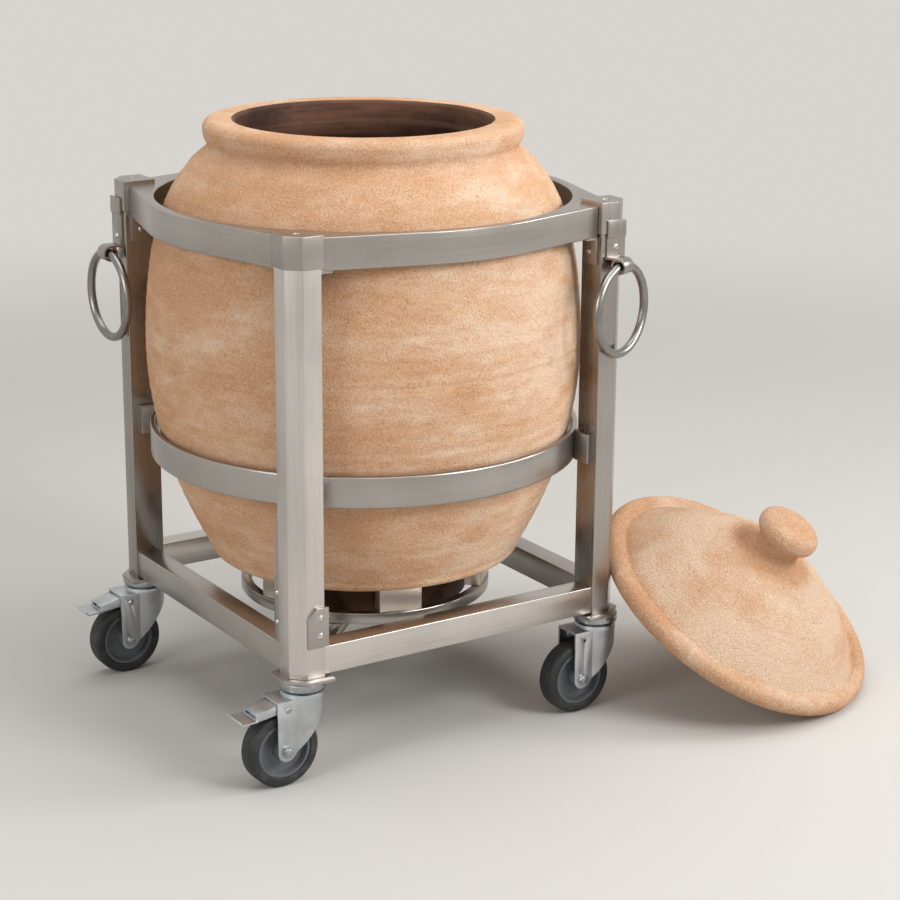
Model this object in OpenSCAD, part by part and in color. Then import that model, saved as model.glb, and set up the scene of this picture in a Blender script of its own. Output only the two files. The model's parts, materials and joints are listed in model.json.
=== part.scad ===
// Portable clay tandoor oven: a thrown clay pot held in a castored stainless frame,
// with its clay lid leaning on one post. Floor at z = 0, pot axis on the Z axis.

/* [Clay pot] */
// Height of the pot from its base to the rim
pot_h = 606; // [560:1:640]
// Largest outside radius of the belly
belly_r = 302; // [270:1:320]
// Height of the belly's widest point above the base
belly_h = 304; // [290:1:340]
// Outside radius at the foot of the body
foot_r = 212; // [188:1:225]
// Rounding at the foot's edge
foot_round = 12; // [4:1:20]
// Outside radius of the groove under the rim
neck_r = 212; // [200:1:215]
// Height of the rim above that groove
rim_h = 38; // [30:1:46]
// Outside radius of the rim
rim_r = 218; // [217:1:228]
// Rounding of the rim's outer edge
rim_round = 11; // [6:1:14]
// Swell of the rim's side over the groove
rim_swell = 7; // [4:0.5:10]
// Softness of the change from shoulder to rim
rim_soft = 9; // [4:0.5:14]
// Inside radius of the mouth
mouth_r = 174; // [150:1:182]
// Rounding of the mouth's inner edge
mouth_round = 6; // [3:1:9]
// Thickness of the clay wall
pot_wall = 44; // [36:1:50]
// Thickness of the clay floor
pot_floor = 50; // [40:1:60]
// Share of the shoulder's fall that is kept for its last, steep part
shoulder_full = 0.45; // [0.35:0.01:0.6]
// Radius of the draught hole in the floor
draught_r = 55; // [40:1:70]

/* [Fire] */
// Radius of the charcoal grate
grate_r = 112; // [90:1:130]
// Thickness of the charcoal grate
grate_t = 12; // [8:1:18]
// Number of bars between the grate's slots
grate_slots = 9; // [5:2:13]
// Width of one slot in the grate
slot_w = 9; // [6:1:11]
// Gap between the ash pan and the support blocks
pan_gap = 4; // [2:0.5:10]
// Depth of the ash pan
pan_h = 50; // [24:1:56]
// Sheet thickness of the ash pan
pan_t = 2; // [1.2:0.1:3]

/* [Posts and rails] */
// Side of one square post
post_w = 44; // [38:1:52]
// Size of the post's chamfered outer corner
post_chamfer = 17; // [10:1:20]
// Wall of the post tube
post_wall = 2.5; // [1.5:0.1:4]
// Length of one post
post_h = 580; // [540:1:600]
// Gap between the belly and the inner corner of a post
post_gap = 1; // [0.8:0.1:8]
// Height of one bottom rail
rail_h = 38; // [30:1:46]
// Depth of one bottom rail
rail_d = 32; // [24:1:36]
// Wall of the rail tube
rail_wall = 2; // [1.5:0.1:3]
// Step from the post's outer face in to the rail's
rail_inset = 2; // [0.5:0.1:6]
// Height of the rails above the foot plates
rail_lift = 3; // [1:1:12]
// Sheet thickness of the post caps
cap_t = 2; // [1:0.1:3]
// Height of one post cap
cap_h = 42; // [30:1:50]
// Radius of the dimple in a cap
dimple_r = 5; // [3:0.5:7]

/* [Rings] */
// Height of the two upper rings
ring_h = 42; // [34:1:50]
// Radial depth of the channel of the top ring
top_ring_d = 14; // [11:1:20]
// Wall of the channel of the top ring
ring_wall = 3; // [2:0.1:4]
// Step from the top of the caps down to the top ring
ring_drop = 5; // [1:0.5:12]
// Step from the post's outer face in to the top ring's ends
ear_inset = 6; // [3:1:12]
// Thickness of the middle ring's flat bar
mid_ring_t = 8; // [5:1:10]
// Height of the middle ring above the foot plates
mid_ring_up = 218; // [180:1:250]
// Gap between a ring and the clay
ring_gap = 2.5; // [1.5:0.1:5]
// Outside radius of the cradle ring
base_ring_r = 177; // [165:1:190]
// Radial width of the cradle ring
base_ring_w = 14; // [10:1:18]
// Height of the cradle ring
base_ring_h = 16; // [12:1:22]
// Number of support blocks
block_n = 6; // [4:1:8]
// Width of one support block
block_w = 60; // [40:1:70]
// Radial depth of one support block
block_d = 24; // [18:1:28]
// Step from the cradle ring's edge in to the support blocks
block_inset = 3; // [1:0.5:6]
// Height of one support block
block_h = 44; // [22:1:52]
// Direction of the first support block
block_az = 15.5; // [0:0.5:40]

/* [Brackets and cradle beam] */
// Width of the cradle beam
beam_w = 28; // [20:1:30]
// Height of the cradle beam
beam_h = 12; // [8:1:12]
// Sheet thickness of the brackets
bracket_t = 4; // [2:0.5:6]
// Height of the bracket under a ring end
bracket_h = 38; // [28:1:46]
// Width of the bracket under a ring end
bracket_w = 30; // [24:1:34]
// Reach of the bracket under the ring
bracket_reach = 20; // [14:1:26]
// Radius of the screw heads
screw_r = 4.5; // [3:0.1:6]
// Height of the screw heads
screw_h = 2.4; // [1.5:0.1:3.5]
// Width of the tab that ties the middle ring to a post
tab_w = 31; // [24:1:36]
// Thickness of that tab
tab_t = 6; // [4:0.5:8]
// Height of the clipped corner plates over the rails
plate_h = 54; // [40:1:70]
// Reach of the clipped corner plates past the post
plate_reach = 4; // [1:0.5:12]
// Height of the riveted gussets between rail and post
gusset_h = 90; // [60:1:110]
// Width of those gussets
gusset_w = 15; // [11:1:24]
// Width of the strip over each gusset
strip_w = 8; // [5:0.5:12]
// Height of that strip
strip_h = 86; // [40:1:110]
// Gap between the rails and the corner plates over them
plate_lift = 2; // [1:1:8]

/* [Castors] */
// Diameter of one wheel
wheel_d = 102; // [90:1:108]
// Width of one tyre
wheel_w = 30; // [24:1:34]
// Room between the tyre and the fork's shelf over it
tyre_room = 16.7; // [15:0.1:28]
// Distance of the axle behind the swivel axis
trail = 35; // [30:1:40]
// Thickness of one foot plate
foot_t = 5; // [4:0.5:8]
// Overhang of the foot plate round the post
foot_over = 10; // [6:1:14]
// Radius of the swivel head
head_r = 31; // [29:1:34]
// Height of the swivel head
head_h = 13; // [10:1:18]
// Height of the fork's crown under the head
crown_t = 5; // [4:1:8]
// Gap between the head and the crown that turns under it
swivel_gap = 0.3; // [0.2:0.1:0.8]
// Thickness of the fork's sheet
fork_t = 3; // [2:0.1:3.5]
// Side clearance between tyre and fork
fork_gap = 3; // [2:0.1:5]
// Radius of the fork's round front
fork_nose_r = 28; // [26:1:29]
// Width of the fork's legs round the axle
leg_r = 13; // [11:1:15]
// Depth of the fork's round front under the shelf
nose_drop = 12; // [8:1:16]
// Radius of the kingpin
kingpin_r = 6; // [5:0.1:7]
// Height of the kingpin's head
pin_head_h = 4.5; // [3:0.5:6]
// Height of the kingpin's nut
nut_h = 9; // [6:1:11]
// Radius of the axle
axle_r = 4; // [3:0.1:5]
// Outside radius of the wheel's core
core_r = 38; // [32:1:41]
// Radius of the wheel's hub
hub_r = 12; // [10:1:15]
// Thickness of the wheel's web
web_t = 8; // [6:1:12]
// Thickness of the core's rim
core_rim_t = 4; // [3:0.5:6]
// Gap between the hub and the fork's legs
hub_gap = 1; // [0.5:0.1:1.5]
// Rounding of the tyre's shoulders
tyre_round = 6; // [3:1:9]
// Radial clearance of the running fits
run_fit = 0.06; // [0.02:0.01:0.1]

/* [Brake pedals] */
// Length of the pedal from its pivot to the lip's end
pedal_len = 70; // [60:1:80]
// Length of the pedal's lip
lip_len = 24; // [16:1:30]
// Sheet thickness of the pedal
pedal_t = 2.2; // [1.5:0.1:3]
// Fall of the pedal's top, in degrees
pedal_fall = 13; // [8:1:16]
// Radius of the pedal's pivot pin
pedal_pin_r = 2.5; // [2:0.1:3]
// Height of that pin above the tyre
pedal_over = 7; // [6:0.5:8]
// Gap between the pedal and the fork round it
pedal_gap = 0.6; // [0.4:0.1:1]
// Radius of the brake shoe's bar
shoe_r = 4; // [3:0.5:5]
// Distance of the brake shoe behind the pivot
shoe_back = 30; // [26:1:34]

/* [Handles] */
// Radius of the handle ring to the middle of its rod
grip_r = 60; // [50:1:76]
// Radius of the handle ring's rod
grip_rod_r = 6; // [4:0.5:7]
// Width of the strap
strap_w = 30; // [24:1:32]
// Thickness of the strap
strap_t = 3; // [2:0.5:4]
// Height of the strap's end below the top of the post
strap_down = 22; // [14:1:28]
// Height of the right eye's axis below the top of the post
eye_down_right = 82; // [76:1:110]
// Height of the left eye's axis below the top of the post
eye_down_left = 100; // [76:1:110]
// Stand-off of the eye from the post's face
eye_out = 18; // [17:1:26]
// Width of the eye
eye_w = 22; // [16:1:26]
// Clearance of the rod in the eye
eye_gap = 2.2; // [1.8:0.1:3]
// Turn of the left handle towards the corner, in degrees
turn_left = 0; // [0:1:16]
// Turn of the right handle towards the corner, in degrees
turn_right = 22; // [0:1:28]

/* [Lid] */
// Outside radius of the lid
lid_r = 218; // [200:1:228]
// Rounding radius of the lid's rim
lid_edge = 14; // [11:1:17]
// Height that the dome would have in its middle, above the middle of the rim
dome_h = 104; // [80:1:120]
// Fullness of the dome
dome_full = 1.9; // [1.4:0.1:2.6]
// Width of the flat on top of the rim
lid_flat = 8; // [4:1:14]
// Depth of the groove between rim and dome
lid_groove = 3; // [1:0.5:5]
// Thickness of the lid's clay
lid_wall = 24; // [18:1:30]
// Radius of the knob
knob_r = 46; // [36:1:54]
// Thickness of the knob
knob_t = 36; // [28:1:44]
// Radius of the knob's neck
knob_neck_r = 33; // [26:1:36]
// Height of the knob's neck over its flare
knob_neck_h = 12; // [8:1:20]
// Flare of the neck down to the dome
neck_flare = 28; // [16:1:36]
// Lean of the lid from the level, in degrees
lid_tilt = 32; // [28:1:38]
// Direction in which the lid leans out, in degrees
lid_az = -62; // [-66:1:-45]
// Direction from the post's edge in which the lid touches it
lid_touch_az = -18; // [-35:1:-12]
// Gap kept between the lid and the post
lid_gap = 0.5; // [0.3:0.1:2]

/* [Hidden] */

$fn = 96;
root2 = sqrt(2);
cut = 1;

// Levels, from the floor up
axle_z = wheel_d / 2;
shelf_z = wheel_d + tyre_room + fork_t;
crown_z = shelf_z + crown_t;
foot_z = crown_z + swivel_gap + head_h;
post_z = foot_z + foot_t;
rail_z = post_z + rail_lift;
plate_z = rail_z + rail_h + plate_lift;
beam_z = post_z + 1;
base_ring_z = beam_z + beam_h;
pot_z = base_ring_z + base_ring_h + block_h;
mid_ring_z = post_z + mid_ring_up;
post_top = post_z + post_h;
top_ring_z = post_top + cap_t - ring_drop - ring_h;
neck_h = pot_h - rim_h;

// Plan of the frame
post_in = (belly_r + post_gap) / root2;
frame_a = post_in + post_w;
post_mid = frame_a - post_w / 2;
rail_len = 2 * post_in;
ear_a = frame_a - ear_inset;
pan_r = base_ring_r - block_inset - block_d - pan_gap - pan_t;

// Points of an arc, for profiles
function arc(cx, cy, r, a0, a1, n) =
    [for (i = [0 : n]) [cx + r * cos(a0 + (a1 - a0) * i / n), cy + r * sin(a0 + (a1 - a0) * i / n)]];

// Outside radius of the pot at a height above its base
function low_r(t) = belly_r - (belly_r - foot_r) * t * t;
function high_r(u) = belly_r - (belly_r - neck_r) * ((1 - shoulder_full) * u * u + shoulder_full * pow(u, 6));
function pot_r(h) = h < belly_h ? low_r((belly_h - h) / belly_h) : high_r((h - belly_h) / (neck_h - belly_h));

// The same with the rim, whose swelling side flows out of the shoulder
function rim_side(h) = rim_r - rim_swell * pow((pot_h - rim_round - 3 - h) / (rim_h * 0.63), 2);
function soft_max(a, b) = max(a, b) + pow(max(rim_soft - abs(a - b), 0), 2) / (4 * rim_soft);
function pot_side(h) = soft_max(pot_r(h), rim_side(h));

top_ring_in = pot_r(top_ring_z - pot_z) + ring_gap;
top_ring_out = top_ring_in + top_ring_d;
mid_ring_in = pot_r(mid_ring_z + ring_h - pot_z) + ring_gap;
mid_ring_out = mid_ring_in + mid_ring_t;

// The clay pot, thrown on the wheel, with a thick wall and a hole for draught and ash
module clay_pot() {
    steps = 16;
    rim_steps = 9;
    inner_top = neck_h - rim_h / 4;
    side_top = pot_h - rim_round - 2;
    foot = arc(pot_r(foot_round) - foot_round, foot_round, foot_round, -90, 0, 5);
    outer = [for (i = [1 : steps]) let (h = foot_round + (neck_h - rim_h / 2 - foot_round) * i / steps) [pot_side(h), h]];
    swell = [for (i = [1 : rim_steps]) let (h = neck_h - rim_h / 2 + (side_top - neck_h + rim_h / 2) * i / rim_steps)
        [pot_side(h), h]];
    rim = arc(rim_r - rim_round, pot_h - rim_round, rim_round, 0, 90, 6);
    mouth = arc(mouth_r + mouth_round, pot_h - mouth_round, mouth_round, 90, 180, 4);
    inner = [for (i = [0 : steps]) let (h = inner_top - (inner_top - pot_floor) * i / steps)
        [min(pot_r(h) - pot_wall, mouth_r + (inner_top - h) * 2), h]];
    color("burlywood") translate([0, 0, pot_z]) rotate_extrude($fn = 180)
        polygon(concat([[draught_r, 0]], foot, outer, swell, rim, mouth, inner, [[draught_r, pot_floor]]));
}

// Cast grate over the draught hole
module charcoal_grate() {
    color("dimgray") translate([0, 0, pot_z + pot_floor]) difference() {
        cylinder(r = grate_r, h = grate_t);
        for (i = [0 : grate_slots - 1]) {
            y = (i - (grate_slots - 1) / 2) * 2 * slot_w;
            half = sqrt(pow(grate_r - slot_w, 2) - pow(abs(y) + slot_w / 2, 2)) - slot_w / 2;
            translate([-half, y - slot_w / 2, -cut]) cube([2 * half, slot_w, grate_t + 2 * cut]);
        }
    }
}

// Pressed pan that catches the ash, standing on the beam inside the cradle ring
module ash_pan() {
    color("saddlebrown") translate([0, 0, base_ring_z]) difference() {
        union() {
            cylinder(r = pan_r, h = pan_h);
            translate([0, 0, pan_h - pan_t]) cylinder(r = pan_r + pan_t, h = pan_t);
        }
        translate([0, 0, pan_t]) cylinder(r = pan_r - pan_t, h = pan_h);
    }
}

// Plan of the top ring: a circle whose outside runs straight to the four posts
module ring_plan(r, a) {
    end = post_in - cap_t;
    face_az = atan2(a, end);
    touch = acos(r / norm([end, a]));
    difference() {
        circle(r = r, $fn = 180);
        for (q = [0 : 3]) rotate([0, 0, 90 * q]) translate([end, end]) square(r);
    }
    for (q = [0 : 3]) rotate([0, 0, 90 * q]) polygon([[0, 0],
        r * [cos(90 - face_az - touch), sin(90 - face_az - touch)], [a, end], [end, end],
        [end, a], r * [cos(face_az + touch), sin(face_az + touch)]]);
}

// Rolled channel round the shoulder of the pot, open towards the clay
module top_ring() {
    color("silver") translate([0, 0, top_ring_z]) difference() {
        linear_extrude(ring_h) ring_plan(top_ring_out, ear_a);
        translate([0, 0, -cut]) cylinder(r = top_ring_in, h = ring_h + 2 * cut, $fn = 180);
        translate([0, 0, ring_wall]) linear_extrude(ring_h - 2 * ring_wall)
            ring_plan(top_ring_out - ring_wall, ear_a - ring_wall);
    }
}

module flat_ring(r_out, r_in, h) {
    difference() {
        cylinder(r = r_out, h = h, $fn = 180);
        translate([0, 0, -cut]) cylinder(r = r_in, h = h + 2 * cut, $fn = 180);
    }
}

module middle_ring() {
    color("silver") translate([0, 0, mid_ring_z]) difference() {
        flat_ring(mid_ring_out, mid_ring_in, ring_h);
        for (q = [0 : 3]) rotate([0, 0, 90 * q]) translate([post_in, post_in, -cut])
            cube([post_w, post_w, ring_h + 2 * cut]);
    }
}

module cradle_ring() {
    color("silver") translate([0, 0, base_ring_z]) flat_ring(base_ring_r, base_ring_r - base_ring_w, base_ring_h);
}

module support_blocks() {
    color("darkgray") for (i = [0 : block_n - 1]) rotate([0, 0, block_az + 360 / block_n * i])
        translate([base_ring_r - block_d - block_inset, -block_w / 2, base_ring_z + base_ring_h])
            cube([block_d, block_w, block_h]);
}

// Bar from the front post to the back post that carries the cradle ring, welded to posts and rails
module cradle_beam() {
    reach = frame_a - rail_inset - rail_d;
    color("gray") difference() {
        intersection() {
            rotate([0, 0, 45]) translate([-2 * reach, -beam_w / 2, beam_z]) cube([4 * reach, beam_w, beam_h]);
            translate([-reach, -reach, beam_z - cut]) cube([2 * reach, 2 * reach, beam_h + 2 * cut]);
        }
        for (q = [0, 2]) rotate([0, 0, 90 * q]) translate([post_in, post_in, beam_z - cut])
            cube([post_w, post_w, beam_h + 2 * cut]);
    }
}

// Section of a post: a square with its outer corner cut off, grown by g
module post_section(g) {
    c = post_chamfer + g * (2 - root2);
    lo = post_in - g;
    hi = frame_a + g;
    polygon([[lo, lo], [hi, lo], [hi, hi - c], [hi - c, hi], [lo, hi]]);
}

module post_tube() {
    color("silver") translate([0, 0, post_z]) linear_extrude(post_h) difference() {
        post_section(0);
        post_section(-post_wall);
    }
}

module post_back() { post_tube(); }
module post_left() { rotate([0, 0, 90]) post_tube(); }
module post_front() { rotate([0, 0, 180]) post_tube(); }
module post_right() { rotate([0, 0, 270]) post_tube(); }

module rail_tube() {
    color("silver") translate([-rail_len / 2, frame_a - rail_inset - rail_d, rail_z]) difference() {
        cube([rail_len, rail_d, rail_h]);
        translate([-cut, rail_wall, rail_wall])
            cube([rail_len + 2 * cut, rail_d - 2 * rail_wall, rail_h - 2 * rail_wall]);
    }
}

module rail_back_left() { rail_tube(); }
module rail_front_left() { rotate([0, 0, 90]) rail_tube(); }
module rail_front_right() { rotate([0, 0, 180]) rail_tube(); }
module rail_back_right() { rotate([0, 0, 270]) rail_tube(); }

// Folded cap over the top of each post, with a punched dimple
module post_caps() {
    color("silver") for (q = [0 : 3]) rotate([0, 0, 90 * q]) difference() {
        translate([0, 0, post_top + cap_t - cap_h]) linear_extrude(cap_h) post_section(cap_t);
        translate([0, 0, post_top - cap_h - cut]) linear_extrude(cap_h + cut) post_section(0);
        translate([post_mid, post_mid, post_top + cap_t - cap_t / 2]) cylinder(r = dimple_r, h = cap_t, $fn = 32);
    }
}

// Where something on a post's two inner side faces sits: on the face towards -X, then towards -Y
module on_inner_faces() {
    for (q = [0 : 3]) rotate([0, 0, 90 * q]) {
        children();
        mirror([1, -1, 0]) children();
    }
}

// Angle brackets under the top ring's ends, each with one screw in the post
module ring_brackets() {
    z1 = top_ring_z;
    color("silver") on_inner_faces() translate([post_in, post_mid - bracket_w / 2, z1]) {
        translate([-bracket_t, 0, -bracket_h]) cube([bracket_t, bracket_w, bracket_h]);
        translate([-bracket_reach, 0, -bracket_t]) cube([bracket_reach, bracket_w, bracket_t]);
    }
}

module screw_head() {
    rotate([0, -90, 0]) difference() {
        union() {
            cylinder(r = screw_r, h = screw_h / 2, $fn = 32);
            translate([0, 0, screw_h / 2]) cylinder(r1 = screw_r, r2 = screw_r * 0.7, h = screw_h / 2, $fn = 32);
        }
        translate([0, 0, screw_h / 2]) cylinder(r = screw_r * 0.4, h = screw_h, $fn = 6);
    }
}

module bracket_screws() {
    color("lightgray") on_inner_faces()
        translate([post_in - bracket_t, post_mid, top_ring_z - bracket_h * 0.55]) screw_head();
}

// Tabs that tie the middle ring to the posts
module ring_tabs() {
    color("silver") on_inner_faces() difference() {
        translate([post_in - tab_t, post_in - tab_t, mid_ring_z]) cube([tab_t, tab_w + tab_t, ring_h]);
        translate([0, 0, mid_ring_z - cut]) cylinder(r = mid_ring_out, h = ring_h + 2 * cut, $fn = 180);
        translate([0, 0, mid_ring_z - cut]) rotate([0, 0, 45])
            translate([0, -frame_a, 0]) cube([2 * frame_a, frame_a, ring_h + 2 * cut]);
    }
}

// On the front and back posts: a plate with a clipped corner on one face, and between the post and the
// next rail a tall gusset with a strip over it
module corner_plates() {
    clip = plate_h / 4;
    color("silver") for (q = [0, 2]) rotate([0, 0, 90 * q]) {
        translate([0, frame_a + bracket_t, plate_z]) rotate([90, 0, 0]) linear_extrude(bracket_t)
            polygon([[post_in - plate_reach, 0], [frame_a - post_chamfer, 0],
                [frame_a - post_chamfer, plate_h - clip], [frame_a - post_chamfer - clip, plate_h],
                [post_in - plate_reach, plate_h]]);
        translate([frame_a - rail_inset - bracket_t, post_in, rail_z + rail_h]) rotate([90, 0, 90])
            linear_extrude(bracket_t) polygon([[0, 0], [0, gusset_h + strip_h], [-strip_w, gusset_h + strip_h],
                [-strip_w, gusset_h], [4 - gusset_w, gusset_h], [-gusset_w, gusset_h - 4], [-gusset_w, 0]]);
    }
}

module plate_rivets() {
    color("lightgray") for (q = [0, 2]) rotate([0, 0, 90 * q]) for (k = [0.3, 0.75]) {
        translate([post_in + 2 * screw_r, frame_a + bracket_t, plate_z + plate_h * k]) rotate([-90, 0, 0])
            cylinder(r1 = screw_r, r2 = screw_r * 0.6, h = screw_h * 0.7, $fn = 32);
        translate([frame_a - rail_inset, post_in - gusset_w / 2, rail_z + rail_h + gusset_h * k]) rotate([0, 90, 0])
            cylinder(r1 = screw_r * 0.8, r2 = screw_r * 0.5, h = screw_h * 0.7, $fn = 32);
    }
}

// Plate under each post, with a hole for the kingpin
module foot_plates() {
    side = post_w + 2 * foot_over;
    clip = post_chamfer + foot_over * (2 - root2) + 2;
    lo = post_in - foot_over;
    hi = lo + side;
    color("silver") for (q = [0 : 3]) rotate([0, 0, 90 * q]) translate([0, 0, foot_z]) difference() {
        linear_extrude(foot_t) polygon([[lo, lo], [hi, lo], [hi, hi - clip], [hi - clip, hi], [lo, hi]]);
        translate([post_mid, post_mid, -cut]) cylinder(r = kingpin_r + run_fit, h = foot_t + 2 * cut);
    }
}

// Castors. Everything here is drawn about the swivel axis with the wheel trailing towards -X
fork_in = wheel_w / 2 + fork_gap;
fork_out = fork_in + fork_t;
leg_back = trail + leg_r;
hub_half = fork_in - hub_gap;
pedal_z = wheel_d + pedal_over;
pedal_x = -trail + 3;
pedal_top = shelf_z - fork_t - pedal_z - pedal_gap;
pedal_knee = -pedal_x - leg_back + 2;
corners = [[-post_mid, -post_mid], [post_mid, -post_mid], [post_mid, post_mid], [-post_mid, post_mid]];

module at_corner(i) { translate([corners[i][0], corners[i][1], 0]) children(); }

// Fixed half of the swivel race
module castor_heads() {
    taper = head_h * 0.3;
    color("lightsteelblue") for (i = [0 : 3]) at_corner(i) difference() {
        union() {
            translate([0, 0, foot_z - head_h + taper]) cylinder(r = head_r, h = head_h - taper);
            translate([0, 0, foot_z - head_h]) cylinder(r1 = head_r - 5, r2 = head_r - 2, h = taper);
        }
        translate([0, 0, foot_z - head_h - cut]) cylinder(r = kingpin_r + run_fit, h = head_h + 2 * cut);
    }
}

// Kingpin through the plate, the race and the fork, with its nut inside the post
module kingpins() {
    head_top = shelf_z - fork_t - swivel_gap;
    pin_end = post_z + nut_h + kingpin_r;
    color("lightgray") for (i = [0 : 3]) at_corner(i) {
        translate([0, 0, head_top - pin_head_h]) cylinder(r = kingpin_r * 1.5, h = pin_head_h);
        translate([0, 0, head_top - cut]) cylinder(r = kingpin_r, h = pin_end - head_top + cut);
        translate([0, 0, post_z]) cylinder(r = kingpin_r * 1.7, h = nut_h, $fn = 6);
    }
}

// Pressed fork: a round nose, two legs down to the axle and a flat shelf over the wheel
module fork_plan() {
    circle(r = fork_nose_r);
    translate([-leg_back, -fork_out]) square([leg_back, 2 * fork_out]);
}

module fork_room() {
    circle(r = fork_nose_r - fork_t);
    translate([-leg_back - cut, -fork_in]) square([leg_back + cut, 2 * fork_in]);
}

module fork_side() {
    polygon([[-leg_back - cut, shelf_z], [fork_nose_r + cut, shelf_z], [fork_nose_r + cut, shelf_z - nose_drop],
        [-trail + leg_r * 0.8, axle_z - leg_r * 0.6], [-trail, axle_z], [-leg_back - cut, axle_z]]);
    translate([-trail, axle_z]) circle(r = leg_r);
}

module fork_body() {
    color("lightsteelblue") difference() {
        union() {
            intersection() {
                translate([0, 0, axle_z - 2 * leg_r]) linear_extrude(shelf_z - axle_z + 2 * leg_r - fork_t / 2)
                    difference() { fork_plan(); fork_room(); }
                rotate([90, 0, 0]) translate([0, 0, -2 * fork_out]) linear_extrude(4 * fork_out) fork_side();
            }
            translate([0, 0, shelf_z - fork_t]) linear_extrude(fork_t) fork_plan();
            translate([0, 0, shelf_z - fork_t / 2]) cylinder(r = fork_nose_r + 1, h = crown_t + fork_t / 2);
        }
        translate([0, 0, shelf_z - fork_t - cut]) cylinder(r = kingpin_r + run_fit, h = crown_t + fork_t + 2 * cut);
        translate([-trail, 0, axle_z]) rotate([90, 0, 0])
            cylinder(r = axle_r + run_fit, h = 4 * fork_out, center = true);
        translate([pedal_x, 0, pedal_z]) rotate([90, 0, 0])
            cylinder(r = pedal_pin_r + run_fit, h = 4 * fork_out, center = true);
    }
}

// Axle bolt with its washer and nut
module axle_bolt() {
    color("lightgray") translate([-trail, 0, axle_z]) rotate([90, 0, 0]) {
        cylinder(r = axle_r, h = 2 * fork_out + 12, center = true);
        for (m = [0, 1]) mirror([0, 0, m]) {
            translate([0, 0, fork_out]) cylinder(r = axle_r * 1.9, h = 1.4);
            translate([0, 0, fork_out + 1.4]) cylinder(r = axle_r * 1.6, h = 4, $fn = 6);
        }
    }
}

// Plastic wheel core with hub, web and rim
module wheel_core() {
    rim_half = wheel_w / 2 - 1.5;
    color("slategray") translate([-trail, 0, axle_z]) rotate([90, 0, 0]) rotate_extrude() polygon([
        [axle_r + run_fit, -hub_half], [hub_r, -hub_half], [hub_r + 2, -web_t / 2], [core_r - core_rim_t - 2, -web_t / 2],
        [core_r - core_rim_t, -rim_half], [core_r, -rim_half], [core_r, rim_half],
        [core_r - core_rim_t, rim_half], [core_r - core_rim_t - 2, web_t / 2], [hub_r + 2, web_t / 2],
        [hub_r, hub_half], [axle_r + run_fit, hub_half]]);
}

module tyre() {
    half = wheel_w / 2;
    r = wheel_d / 2;
    color("dimgray") translate([-trail, 0, axle_z]) rotate([90, 0, 0]) rotate_extrude() polygon(concat(
        [[core_r, -half + 1], [core_r + 1, -half]],
        arc(r - tyre_round, -half + tyre_round, tyre_round, -90, 0, 5),
        arc(r - tyre_round, half - tyre_round, tyre_round, 0, 90, 5),
        [[core_r + 1, half], [core_r, half - 1]]));
}

module fork_front() { at_corner(0) fork_body(); }
module fork_right() { at_corner(1) fork_body(); }
module fork_back() { at_corner(2) fork_body(); }
module fork_left() { at_corner(3) fork_body(); }
module axle_front() { at_corner(0) axle_bolt(); }
module axle_right() { at_corner(1) axle_bolt(); }
module axle_back() { at_corner(2) axle_bolt(); }
module axle_left() { at_corner(3) axle_bolt(); }
module core_front() { at_corner(0) wheel_core(); }
module core_right() { at_corner(1) wheel_core(); }
module core_back() { at_corner(2) wheel_core(); }
module core_left() { at_corner(3) wheel_core(); }
module tyre_front() { at_corner(0) tyre(); }
module tyre_right() { at_corner(1) tyre(); }
module tyre_back() { at_corner(2) tyre(); }
module tyre_left() { at_corner(3) tyre(); }

// Brake pedal: a folded channel on a pin, a lip to step on and a bar that bears on the tyre.
// Its side is drawn about the pin, falling away behind the fork
module pedal_side(inset) {
    top = pedal_top - inset;
    end = -(pedal_len - lip_len) + inset;
    fall = tan(pedal_fall) * (pedal_knee - end);
    low = inset > 0 ? -2 * pedal_top : 0;
    wall_low = 3.3 - pedal_over;
    tail = 9;
    polygon([[5 - inset, wall_low + low], [5 - inset, top * 0.4], [1 - inset, top], [pedal_knee, top],
        [end, top - fall], [end, top - fall - tail + low], [end + 6, top - fall - tail + low],
        [pedal_knee, wall_low + low]]);
}

module pedal_body() {
    half = fork_in - pedal_gap;
    back = pedal_len - lip_len;
    heel = pedal_top - tan(pedal_fall) * (pedal_knee + back);
    color("lightsteelblue") translate([pedal_x, 0, pedal_z]) difference() {
        union() {
            difference() {
                rotate([90, 0, 0]) linear_extrude(2 * half, center = true) pedal_side(0);
                rotate([90, 0, 0]) linear_extrude(2 * (half - pedal_t), center = true) pedal_side(pedal_t);
            }
            rotate([90, 0, 0]) linear_extrude(2 * half + 4, center = true) polygon([
                [pedal_t - back, heel - 7], [4 - pedal_len, heel - 8], [-pedal_len, heel - 3],
                [-pedal_len - pedal_t, heel - 4], [3 - pedal_len, heel - 8 - pedal_t],
                [pedal_t - back, heel - 7 - pedal_t]]);
            translate([-shoe_back, 0, -3]) rotate([90, 0, 0])
                cylinder(r = shoe_r, h = 2 * half - pedal_t, center = true, $fn = 48);
        }
        rotate([90, 0, 0]) cylinder(r = pedal_pin_r + run_fit, h = 4 * half, center = true);
        translate([-back - pedal_t, -half + 5, heel - 5]) cube([3 * pedal_t, 2 * half - 10, 3.5]);
    }
}

module pedal_pin() {
    color("lightgray") translate([pedal_x, 0, pedal_z]) rotate([90, 0, 0]) {
        cylinder(r = pedal_pin_r, h = 2 * fork_out + 2, center = true, $fn = 48);
        for (m = [0, 1]) mirror([0, 0, m]) translate([0, 0, fork_out])
            cylinder(r1 = pedal_pin_r * 1.7, r2 = pedal_pin_r * 1.2, h = 1.6, $fn = 48);
    }
}

module pedal_front() { at_corner(0) pedal_body(); }
module pedal_left() { at_corner(3) pedal_body(); }
module pedal_pin_front() { at_corner(0) pedal_pin(); }
module pedal_pin_left() { at_corner(3) pedal_pin(); }

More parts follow.
